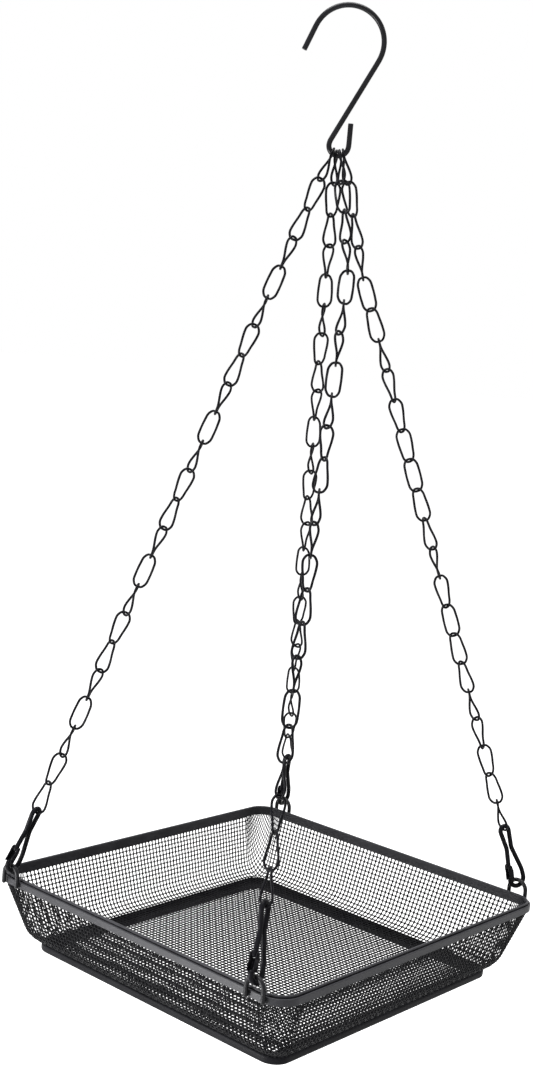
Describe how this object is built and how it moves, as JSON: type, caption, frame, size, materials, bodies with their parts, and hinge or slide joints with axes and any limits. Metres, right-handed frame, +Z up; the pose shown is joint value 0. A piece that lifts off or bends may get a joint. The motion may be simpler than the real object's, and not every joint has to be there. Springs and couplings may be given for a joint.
{
  "type": "hanging tray feeder",
  "caption": "Platform bird feeder: a shallow woven-mesh tray that hangs on chains from an S-hook, with a snap hook at the foot of each chain.",
  "frame": {"origin": "the inside of the S-hook's upper bend, where it hangs on a branch or bracket", "axes": "+Z up; X along the tray's two short sides, Y along its two long sides; the tray hangs level below the origin"},
  "size_m": [0.225, 0.2491, 0.555],
  "materials": {
    "hook_coat": "satin",
    "chain_coat": "satin",
    "snap_coat": "satin",
    "rim_coat": "satin",
    "mesh_coat": "satin",
    "base_coat": "satin"
  },
  "bodies": {
    "hook": {"s_hook": "hook_coat"},
    "feeder": {"chain_left_top_link": "chain_coat", "chain_left_links": "chain_coat", "chain_left_end_link": "chain_coat", "snap_frame_left": "snap_coat", "gate_pin_left": "snap_coat", "rim_eye_left": "rim_coat", "chain_back_top_link": "chain_coat", "chain_back_links": "chain_coat", "chain_back_end_link": "chain_coat", "snap_frame_back": "snap_coat", "gate_pin_back": "snap_coat", "rim_eye_back": "rim_coat", "chain_front_top_link": "chain_coat", "chain_front_links": "chain_coat", "chain_front_end_link": "chain_coat", "snap_frame_front": "snap_coat", "gate_pin_front": "snap_coat", "rim_eye_front": "rim_coat", "chain_right_top_link": "chain_coat", "chain_right_links": "chain_coat", "chain_right_end_link": "chain_coat", "snap_frame_right": "snap_coat", "gate_pin_right": "snap_coat", "rim_eye_right": "rim_coat", "rim": "rim_coat", "mesh_body": "mesh_coat", "floor_mesh": "mesh_coat", "floor_band": "base_coat", "foot_ring": "base_coat"},
    "gate_left": {"snap_gate_left": "snap_coat"},
    "gate_back": {"snap_gate_back": "snap_coat"},
    "gate_front": {"snap_gate_front": "snap_coat"},
    "gate_right": {"snap_gate_right": "snap_coat"}
  },
  "joints": [
    {"name": "hook_swing", "type": "hinge", "parent": "hook", "child": "feeder", "pos_m": [0, 0, -0.075], "axis": [0.6428, -0.766, 0], "range_deg": [-30, 30]},
    {"name": "gate_left_swing", "type": "hinge", "parent": "feeder", "child": "gate_left", "pos_m": [-0.09246, -0.11908, -0.48632], "axis": [0.9675, 0.0846, -0.2383], "range_deg": [0, 28], "stiffness_Nm_per_rad": 0.004, "springref_deg": -20.05},
    {"name": "gate_back_swing", "type": "hinge", "parent": "feeder", "child": "gate_back", "pos_m": [-0.09282, 0.11241, -0.48822], "axis": [0.9769, 0.0855, -0.1959], "range_deg": [0, 28], "stiffness_Nm_per_rad": 0.004, "springref_deg": -20.05},
    {"name": "gate_front_swing", "type": "hinge", "parent": "feeder", "child": "gate_front", "pos_m": [0.0933, -0.11877, -0.48625], "axis": [0.9814, 0.0859, 0.1719], "range_deg": [0, 28], "stiffness_Nm_per_rad": 0.004, "springref_deg": -20.05},
    {"name": "gate_right_swing", "type": "hinge", "parent": "feeder", "child": "gate_right", "pos_m": [0.09154, 0.11269, -0.48886], "axis": [0.9026, -0.4209, 0.0903], "range_deg": [0, 28], "stiffness_Nm_per_rad": 0.004, "springref_deg": -20.05}
  ]
}
